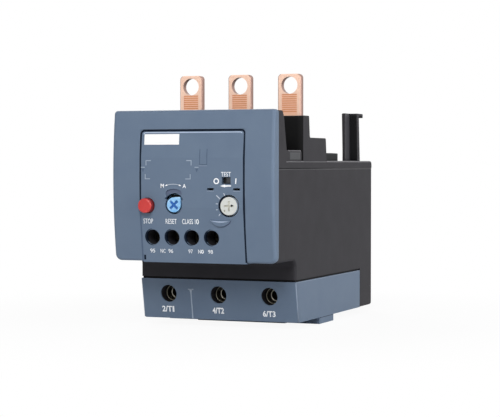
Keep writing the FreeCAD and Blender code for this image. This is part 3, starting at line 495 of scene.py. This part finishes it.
# The same plating, near black on the screws deep in their holes: painted shade.
zinc_painted_shade = metal("steel_zinc_plated_dulled", "#2A2822", "#322F28", 0.5, 0.9, (0.4, 1.0, 1.0), 0.2)
# The plating on the screw heads' edge, lighter: painted highlight.
zinc_painted_highlight_dim = metal("steel_zinc_part_worn", "#8C897B", "#9C998B", 0.4, 0.9, (0.4, 1.0, 1.0), 0.1)
# The same plating, bright on the socket rims: painted highlight.
zinc_painted_highlight = metal("steel_zinc_worn", "#D6D3C4", "#E4E1D4", 0.3, 0.9, (0.4, 1.0, 1.0), 0.1)
# Drawn spring wire: grey steel, a little brighter along the wire.
spring_steel = metal("spring_wire_drawn", "#A2A3A6", "#B5B6B9", 0.3, 0.5, (1.0, 0.3, 1.0), 0.15)

FINISHES = {
    "cover_grey": cover_grey, "housing_black": housing_black, "frame_black": frame_black,
    "red_plastic": red_plastic, "blue_plastic": blue_plastic, "dial_white": dial_white,
    "slider_dark": slider_dark, "natural_plastic": natural_plastic, "copper": copper,
    "silver_contact": silver_contact, "heater_alloy": heater_alloy, "bimetal_strip": bimetal_strip,
    "zinc_steel": zinc_steel, "spring_steel": spring_steel,
}


def dress_nodes():
    """Every CAD node takes the finish of its slot in the record; the screws deep in the panel are painted
    near black as shade.
    """
    slots = {part["node"]: part["material_slot"] for part in frame["record"]["subparts"]}
    for name, node in NODES.items():
        node.data.materials.clear()
        shaded = name == "aux_screws" or name.startswith("terminal_screw")
        node.data.materials.append(zinc_painted_shade if shaded else FINISHES[slots[name]])


def shorten_springs():
    """Each return spring gets a mesh of its own."""
    springs = (("stop_spring", "stop_press", 1, 1), ("reset_spring", "reset_press", 1, 1),
               ("test_spring", "test_push", 0, 0))
    for spring, joint, axis, end in springs:
        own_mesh(NODES[spring])


# ---------------------------------------------------------------- marks

def panel_words():
    """Plain functional words, letters and terminal numbers of the control panel."""
    under_buttons, under_holes = (43.15, 45.15), (31.5, 33.05)
    rows = (("STOP", (-21.3, -17.1), under_buttons), ("RESET", (-11.55, -6.7), under_buttons),
            ("CLASS 1", (-4.3, 1.4), under_buttons), ("TEST", (12.75, 16.95), (62.05, 63.85)),
            ("M", (-13.4, -11.95), (57.45, 59.1)), ("A", (-3.8, -2.35), (57.45, 59.05)),
            ("95", (-19.0, -16.9), under_holes), ("NC", (-14.5, -12.3), under_holes),
            ("96", (-11.0, -9.0), under_holes), ("97", (-2.25, -0.35), under_holes),
            ("N", (2.0, 3.1), under_holes), ("98", (6.25, 8.3), under_holes))
    for words, across, heights in rows:
        name = "print_" + words.lower().replace(" ", "_")
        lettering(name, words, across, heights, bold=0.02 if words in "MA" else 0.0)


def round_letters():
    """The zero of CLASS 10 and the O of NO: a circle stretched to an ellipse, drawn with a narrow stroke."""
    circle = arc((0.0, 0.0), 1.0, 0, 350, 36)
    stroke("print_zero", circle * (0.44, 0.86) + (2.32, 44.15), 0.32, print_ink, closed=True)
    stroke("print_round_o", circle * (0.43, 0.62) + (3.8, 32.28), 0.32, print_ink, closed=True)


def block_words():
    """Terminal designations under the three driver holes."""
    rows = (("1", "2/T", (-26.0, -21.5), 5.35), ("1_end", "1", (-21.25, -20.5), 5.35),
            ("2", "4/T2", (-3.1, 2.0), 5.35), ("3", "6/T3", (19.2, 24.7), 4.75))
    for pole, words, across, low in rows:
        lettering("print_terminal_" + pole, words, across, (low, low + 2.5), block_depth, bold=0.028)


def label_and_brackets():
    """Bare label plate, and the brackets and dashes that frame the field for a second label."""
    stroke("label_plate", [(-20.8, 76.74), (-5.6, 76.74)], 4.2, label_white, proud=0.2)
    # The brackets and dashes are raised lines, coloured lighter as painted highlight.
    corners = ((-19.85, 68.3, 1, -1), (-0.1, 68.3, -1, -1), (-20.2, 61.05, 1, 1), (-0.5, 61.05, -1, 1))
    for i, (x, z, right, up) in enumerate(corners):
        path = [(x + right * 2.1, z), (x, z), (x, z + up * 1.9)]
        stroke("bracket_%d" % (i + 1), path, 0.3, ridge_painted_highlight)
    for i, x in enumerate((-22.1, 1.4)):
        stroke("dash_%d" % (i + 1), [(x, 65.65), (x + 1.7, 65.65)], 0.3, ridge_painted_highlight)


def mode_and_test_marks():
    """Two-headed bow between M and A, and the arrow, ring and bar round the test window."""
    bow = arc((-7.95, 49.4), 9.55, 111.5, 68.5, 17)
    stroke("mode_arrow", bow[2:-2], 0.2, fine_ink)
    for i, end in enumerate((bow[:4], bow[:-5:-1])):
        stroke("mode_arrow_head_%d" % (i + 1), end, [0.05, 0.4, 0.6, 0.1], print_ink)
    arrow = [(12.3, 58.35), (14.5, 58.35), (14.52, 58.35), (17.0, 58.4)]
    stroke("test_arrow", arrow, [0.06, 1.15, 0.6, 0.45], print_ink)
    stroke("test_off_ring", arc((10.72, 60.22), 0.96, 0, 352.5, 48), 0.47, print_ink, closed=True)
    stroke("test_on_bar", [(18.95, 59.2), (19.1, 61.35)], 0.45, print_ink)


def scale_ticks():
    """Short strokes of the dial's scale, left of the dial."""
    ticks = (((10.75, 54.65), (12.3, 53.25), 0.34), ((13.85, 55.5), (14.35, 54.5), 0.34),
             ((10.55, 51.35), (11.35, 51.3), 0.3), ((10.6, 48.95), (11.3, 49.0), 0.3),
             ((11.65, 46.65), (12.3, 47.4), 0.3))
    for i, (outer, inner, width) in enumerate(ticks):
        stroke("scale_tick_%d" % (i + 1), (outer, inner), width, fine_ink)


def hook_faces():
    """Painted light on the front rib's two sides, in a lighter grey, and painted shade on the post's leaning
    front.
    """
    foot, top = 68.5, 88.9
    for side, place in SIDES:
        for half, flank in ((29.78, "in"), (30.78, "out")):
            low, high = span(side, half, half + 0.14)
            soft_box("hook_rib_%s_%s" % (place, flank), (low, 96.5, foot), (high, 102.4, top), 0.05, rib_painted_light)
        low, high = span(side, 31.05, 34.3)
        soft_box("hook_front_" + place, (low, 102.88, foot), (high, 103.2, top), 0.05, frame_black,
                 lean=-0.0544)


def block_corner(side, place):
    """Sharp front corner of the lower block, laid over its rounded one.

    One section of six points is carried up the leaning front. Its outer points draw in at the foot by
    0.55 times the square of (1 less the height over the foot), in millimetres.
    """
    heights = np.array([0.0, 0.1, 0.3, 0.6, 1.0, BLOCK_TOP - FOOT_TOP]) + FOOT_TOP
    nose = np.array([(33.05, 0.0), (34.15, 0.0), (34.42, 0.1),
                     (HALF_BODY, 0.35), (HALF_BODY, 1.65), (33.05, 1.65)])
    inset = 0.55 * np.clip(1 - (heights - FOOT_TOP), 0, 1) ** 2
    across = nose[:, 0] - inset[:, None] * (nose[:, 0] > 34.0)
    deep = block_depth(heights)[:, None] + nose[:, 1]
    rows = located(side * across, deep, heights[:, None])
    faces = tube_faces(len(heights), len(nose), False)
    solid("block_corner_" + place, rows, faces, "housing", cover_grey)


def block_edges():
    """Corners of the lower block with painted highlights along its edges, painted shade over its foot, and
    painted shade in the groove above it.
    """
    edge, front, rear = HALF_BODY - 0.24, 26.4, 106.4
    for side, place in SIDES:
        block_corner(side, place)
        upright = [(side * (HALF_BODY - 0.25), block_depth(z) + 0.27, z) for z in (3.0, 11.0, 19.1)]
        bead("block_corner_edge_" + place, upright, 0.27, ridge_painted_highlight_soft)
        along = [(side * edge, d, 19.1) for d in (26.0, 66.0, rear)]
        bead("block_top_edge_" + place, along, 0.26, ridge_painted_highlight_soft)
        low, high = span(side, 33.0, 34.0)
        soft_box("block_groove_" + place, (low, front, 19.3), (high, rear, 20.1), 0.1, painted_deep_shade)
        bead("leg_shade_" + place, [(side * 34.46, d, 2.62) for d in (53.9, 62.0, 70.9)], 0.1, painted_gap_shade)
    soft_box("block_groove_front", (-34.0, front, 19.3), (34.0, 27.3, 20.1), 0.1, painted_deep_shade)


def block_line():
    """Raised T between the first two terminals, coloured lighter as painted highlight: a bar on top of a long
    upright.
    """
    stroke("block_line_bar", [(-13.55, 15.15), (-11.05, 15.15)], 0.4, ridge_painted_highlight, block_depth)
    upright = [(-12.3, z) for z in (15.3, 13.9, 13.2, 2.9)]
    stroke("block_line_upright", upright, [1.5, 0.6, 0.46, 0.46], ridge_painted_highlight, block_depth)


def panel_joint():
    """Painted shade in the joint round the panel, with rounded upper corners, and a painted highlight on the
    edge of the panel under it.
    """
    heights = PANEL_FOLDS[0]
    low, right, top = heights[0] + 0.6, PANEL[1][0] / MM - 0.05, heights[3] - 0.16
    path = [(-right, z) for z in heights[1:3]]
    path += corner((1.3 - right, top - 1.3), 1.3, 180, 90) + corner((right - 1.3, top - 1.3), 1.3, 90, 0)
    path += [(right, z) for z in heights[2:0:-1]] + [(right, low)]
    stroke("panel_joint", path, 0.64, painted_gap_shade, proud=0.02, root=0.35)
    # Fainter painted shade over the joint's lower left, and painted shade in a small notch beside it.
    stroke("panel_joint_faint", [(-22.5, 27.9), (-22.5, 48.6)], 0.68, painted_shade_grey, proud=0.03, root=0.35)
    stroke("panel_notch", [(-21.5, 28.6), (-21.5, 30.5)], 0.85, painted_gap_shade, proud=0.02)
    stroke("panel_notch_fill", [(-20.5, 28.5), (-20.5, 30.3)], 0.9, cover_grey, proud=0.01)
    rim = corner((2.0 - right, top - 1.72), 1.0, 165, 90) + corner((right - 1.9, top - 1.72), 1.0, 90, 30)
    widths = np.full(len(rim), 0.4)
    widths[[0, -1]] = 0.1
    stroke("panel_rim", rim, widths, painted_highlight_edge, proud=0.03)


def opening_corners():
    """Rounded upper corners of the cover's opening: the square corner less a quarter disc."""
    right, top, radius = PANEL[1][0] / MM + 0.35, PANEL_FOLDS[0][3] + 0.35, 1.75
    for side, place in SIDES:
        rim = arc((side * (right - radius), top - radius), radius, 90 - side * 90, 90, 9)
        rim = np.concatenate([rim, [[side * right, top]]])
        points = np.stack([located(rim[:, 0], depth, rim[:, 1]) for depth in (0.98, 4.5)])
        faces = tube_faces(2, len(rim), False)
        solid("opening_corner_" + place, points, faces, "housing", cover_grey)


def latch_mark():
    """Painted shade on the floor of the U-shaped slit, a painted highlight on the lip under it and painted
    shade in two small wedges under the dashes.
    """
    left, right = 3.55, 6.65
    path = [(left, 72.85), (left, 69.45), (left, 66.7), (right, 66.7), (right, 69.45), (right, 72.85)]
    stroke("latch_slit", path, 0.28, painted_shade_grey, proud=-0.08, root=0.8)
    stroke("latch_lip", [(3.1, 66.25), (6.75, 66.25)], 0.2, ridge_painted_highlight_soft, proud=0.02)
    for i, x in enumerate((-21.2, 2.3)):
        stroke("wedge_%d" % (i + 1), [(x, 65.1), (x, 63.7)], [1.3, 0.05], painted_shade_grey, proud=0.02)


def control_shade():
    """Painted shade on the ground of the thumb recess over the reset button, on its collar deep in the hole,
    and on the stop's flank.
    """
    fan = arc((-7.6, RESET_AT[1]), 5.6, 158, 22, 33)
    widths = 0.3 + 1.35 * np.sin(np.linspace(0.1, np.pi - 0.1, 33)) ** 0.7
    stroke("reset_recess", fan, widths, recess_painted_shade, level(0.6), proud=0.02)
    stroke("reset_collar", arc(RESET_AT, 3.62, 0, 354, 60), 1.05, frame_black, level(2.6), proud=0.03,
           closed=True, body="reset_button")
    flank = [(2.85, -2.3), (2.96, -2.5), (2.99, -2.3), (2.99, 2.4), (2.85, 2.4)]
    turned("stop_flank", STOP_AT, flank, red_flank_painted_shade, "stop_button", 48)


def hole_rims():
    """Rims of the auxiliary driver holes: a dark crescent of painted shade on the left and a thin grey lip on
    the right.

    The crescent is 0.14 plus 0.5 times the cosine's size wide. The lip follows the hole's edge from inside
    and is 0.03 plus 0.3 times a slower cosine wide, both in millimetres.
    """
    left = np.radians(np.linspace(98, 272, 41))
    right = np.radians(np.linspace(-98, 142, 41))
    lip = 0.03 + 0.3 * np.cos((right - right.mean()) * 0.75)
    for i, x in enumerate(AUX_HOLES):
        shade = arc((x - 0.14, AUX_HEIGHT - 0.03), 3.24, 98, 272, 41)
        widths = 0.14 + 0.5 * np.abs(np.cos(left))
        stroke("aux_rim_%d" % (i + 1), shade, widths, painted_gap_shade, proud=0.015, root=1.6)
        edge = arc((x, AUX_HEIGHT), 3.16 - lip / 2, -98, 142, 41)
        stroke("aux_lip_%d" % (i + 1), edge, lip, cover_grey, proud=0.02)


def slot_lips():
    """Painted highlights on the lips under the two short slits beside the dial."""
    for i, x in enumerate((8.1, 19.35)):
        path = [(x - 1.5, 56.3), (x + 1.5, 56.3)]
        stroke("slot_lip_%d" % (i + 1), path, 0.28, ridge_painted_highlight_soft, proud=0.02)


def clamp_screws():
    """Painted highlights on the rims of the clamp screws, deep in the terminal holes: the head's and the
    socket's edge.
    """
    rims = (("head", 3.2, 31.95, 0.22, zinc_painted_highlight_dim), ("socket", 2.46, 35.45, 0.3, zinc_painted_highlight))
    for i, x in enumerate(POLES):
        for name, radius, depth, thick, finish in rims:
            ring = np.insert(arc((x, TERMINAL_HEIGHT), radius, 0, 360, 49), 1, depth, axis=1)
            bead("screw_%s_rim_%d" % (name, i + 1), ring, thick, finish, sides=8)


def thumb_lip():
    """Painted highlight on the upper ledge of the lug under the dial and painted shade under its rounded
    foot.
    """
    ledge = arc((12.4, 63.6), 19.4, 257.5, 280.5, 21)
    stroke("thumb_ledge", ledge, lens(0.04, 0.4, 21), painted_highlight_edge, level(0.1), proud=0.03, root=0.5)
    middle = (12.6, 47.6)
    stroke("thumb_foot", arc(middle, 4.85, 236, 324, 25), lens(0.1, 1.2, 25), thumb_painted_shade, proud=0.012)
    stroke("thumb_foot_end", arc(middle, 5.1, 283, 325, 13), lens(0.1, 0.7, 13), recess_painted_shade, proud=0.02)


def lid_edges():
    """Painted highlights along the edges of the lid, the housing and the shroud's cheek, with painted shade
    on the cheek and in the seam.
    """
    seam = (6.0, 60.0, 123.2)
    cheek_out = HALF_BODY - 0.2
    for side, place in SIDES:
        lid = [(side * 34.05, d, 67.8) for d in (14.6, 50.0, 90.0)]
        for bend in np.linspace(0, 1.5, 9):
            lid.append((side * 34.05, 121.4 + 1.8 * math.sin(bend), 66.0 + 1.8 * math.cos(bend)))
        bead("lid_edge_" + place, lid, 0.48, black_painted_highlight)
        bead("seam_edge_" + place, [(side * 34.38, d, 64.72) for d in seam], 0.16, black_painted_highlight_soft)
        turn = ((17.0, 72.2), (30.9, 72.2), (31.3, 71.8), (31.3, 68.6))
        cheek = [(side * cheek_out, d, z) for d, z in turn]
        bead("cheek_edge_" + place, cheek, 0.27, black_painted_highlight)
        low, high = span(side, cheek_out, 34.53)
        soft_box("cheek_shade_" + place, (low, 18.6, 68.7), (high, 30.2, 71.6), 0.1, slider_dark)
        bead("seam_joint_" + place, [(side * 34.34, d, 65.2) for d in seam], 0.22, frame_black)


def dark_steps():
    """Painted shade: a near-black sheet on the shroud's front, the low dark step behind it, and the black rib
    that closes the rear seam.
    """
    soft_box("shroud_front", (-34.35, 33.85, 68.2), (34.35, 34.2, 86.5), 0.1, painted_deep_shade)
    soft_box("rear_step", (-31.9, 63.7, 67.9), (31.9, 84.4, 71.65), 0.5, frame_black)
    soft_box("seam_rib", (-34.2, 120.3, 65.0), (34.2, 123.7, 65.4), 0.1, frame_black)


def reset_cross():
    """Floor of the driver cross in the reset head, darker blue as painted shade: two bars over each other,
    the second a hair nearer.
    """
    for i, turn in enumerate((45, 135)):
        ends = arc(RESET_AT, 1.85, turn, turn + 180, 2)
        stroke("reset_cross_%d" % (i + 1), ends, 1.04, blue_painted_shade, level(0.85 - 0.01 * i),
               proud=0.25, root=0.25, body="reset_button")


def dial_face():
    """The dial's pierced face over the floor of its cross, which is greyer as painted shade."""
    pierced_disc("dial_face", (16.04, 50.47), 3.58, 2.0, 0.38, (0.02, 0.36), dial_white,
                 "setting_dial")
    floor_ring = [(0.0, 0.3), (2.3, 0.3), (2.3, 0.36), (0.0, 0.36)]
    turned("dial_cross_painted_shade", DIAL_AT, floor_ring, dial_cross_painted_shade, "setting_dial", 32)


def dial_surround():
    """Painted shade in the gap left of the dial and the panel's grey collar right of it, both crescents round
    its centre.
    """
    left = np.radians(np.linspace(88, 272, 41))
    gap = arc((DIAL_AT[0] - 0.12, DIAL_AT[1]), 3.88, 88, 272, 41)
    stroke("dial_gap", gap, 0.1 + 0.5 * np.abs(np.cos(left)) ** 0.8, painted_gap_shade, proud=0.015)
    swell = np.cos(np.radians(np.linspace(-80, 80, 33)))
    collar = arc(DIAL_AT, 3.66 + 0.2 * swell, -80, 80, 33)
    stroke("dial_collar", collar, 0.04 + 0.36 * swell, cover_grey, proud=0.012)


def dial_marks():
    """Painted shade in a dark rim under the dial's face, a small pressed mark and the round pointer beside
    its centre.
    """
    stroke("dial_rim", arc(DIAL_AT, 3.7, 0, 354, 60), 0.3, painted_gap_shade, level(0.36), proud=0.04, closed=True,
           body="setting_dial")
    mark = [(0.0, 0.0), (0.38, 0.0), (0.4, 0.1), (0.4, 0.3), (0.0, 0.3)]
    turned("dial_mark", (14.25, 48.6), mark, dial_soil, "setting_dial", 20)
    pointer = [(0.0, 0.0), (0.4, 0.0), (0.42, 0.1), (0.42, 0.3), (0.0, 0.3)]
    turned("dial_pointer", (17.2, 50.7), pointer, print_dark, "setting_dial", 20)


# ---------------------------------------------------------------- scene

def white_where_seen(tree):
    """One for the eye, reflections and glass, which see plain white; zero for all other light."""
    path = add(tree, "ShaderNodeLightPath")
    seen = path.outputs["Is Camera Ray"]
    for ray in ("Is Glossy Ray", "Is Transmission Ray"):
        seen = add(tree, "ShaderNodeMath", {0: seen, 1: path.outputs[ray]}, operation="MAXIMUM").outputs[0]
    return seen


def surroundings(ambient):
    """White studio: what is seen is plain white, and what it lights gets only the ambient share."""
    world = bpy.data.worlds.new("studio")
    bpy.context.scene.world = world
    world.use_nodes = True
    tree = world.node_tree
    tree.nodes.clear()
    seen = white_where_seen(tree)
    level_of_light = add(tree, "ShaderNodeMapRange", {"Value": seen}, {"To Min": ambient, "To Max": 1.0})
    light = add(tree, "ShaderNodeBackground", {"Strength": level_of_light.outputs["Result"]},
                {"Color": (1, 1, 1, 1)})
    add(tree, "ShaderNodeOutputWorld", {"Surface": light.outputs[0]})


def floor():
    """A pale disc that keeps the shadow near the object and turns plain white further out."""
    sides = 60
    material, tree, place = start("studio_floor_painted")
    away = add(tree, "ShaderNodeVectorMath", {0: place}, operation="LENGTH")
    fade = add(tree, "ShaderNodeMapRange", {"Value": away.outputs["Value"]},
               {"From Min": 0.07, "From Max": 0.2, "To Min": 0.93}, interpolation_type="SMOOTHSTEP")
    path = add(tree, "ShaderNodeLightPath")
    share = add(tree, "ShaderNodeMath", {0: fade.outputs["Result"], 1: path.outputs["Is Camera Ray"]},
                operation="MULTIPLY")
    paint = add(tree, "ShaderNodeBsdfDiffuse", values={"Color": hex_colour("#F7F7F7")})
    glow = add(tree, "ShaderNodeEmission", values={"Color": (1, 1, 1, 1), "Strength": 1.0})
    mixed = add(tree, "ShaderNodeMixShader", {0: share.outputs[0], 1: paint.outputs[0], 2: glow.outputs[0]})
    finish_off(tree, mixed)
    rim = arc((0.0, 0.0), 4.0, 0, 354, sides)
    under = np.full(sides, cad_box[0][2] - 0.0002)
    mesh = bpy.data.meshes.new("floor")
    mesh.from_pydata(np.column_stack([rim, under]).tolist(), [], [list(range(sides))])
    mesh.materials.append(material)
    piece = bpy.data.objects.new("floor", mesh)
    bpy.context.scene.collection.objects.link(piece)


def lamp(name, place, aim, size, power):
    """A soft square lamp that faces its aim."""
    data = bpy.data.lights.new(name, "AREA")
    data.size = size
    data.energy = power
    light = bpy.data.objects.new(name, data)
    light.location = place
    light.rotation_euler = (Vector(aim) - Vector(place)).to_track_quat("-Z", "Y").to_euler()
    bpy.context.scene.collection.objects.link(light)


def camera():
    """Long lens from the right, a little above the object's middle."""
    data = bpy.data.cameras.new("camera")
    data.sensor_width = 36.0
    data.lens = 116.7
    eye = bpy.data.objects.new("camera", data)
    place = Vector((0.26371, FRONT_Y - 0.58346, 0.0674))
    aim = Vector((0.02501, FRONT_Y, 0.04965))
    eye.location = place
    eye.rotation_euler = (aim - place).to_track_quat("-Z", "Y").to_euler()
    bpy.context.scene.collection.objects.link(eye)
    bpy.context.scene.camera = eye


dress_nodes()
shorten_springs()
panel_words()
round_letters()
block_words()
label_and_brackets()
mode_and_test_marks()
scale_ticks()
panel_joint()
opening_corners()
latch_mark()
control_shade()
hole_rims()
slot_lips()
clamp_screws()
thumb_lip()
lid_edges()
dark_steps()
hook_faces()
block_edges()
block_line()
reset_cross()
dial_face()
dial_surround()
dial_marks()
surroundings(0.2)
floor()
lamp("front_key", (0.15, -0.62, 0.42), (0.0, -0.03, 0.05), 0.25, 2.8)
lamp("side_key", (1.2, -0.1, 0.35), (0.0, 0.0, 0.05), 0.5, 6.8)
lamp("rear_fill", (-0.7, 0.95, 0.8), (0.0, 0.0, 0.05), 0.8, 8.0)
camera()
bpy.context.scene.view_settings.view_transform = "Standard"
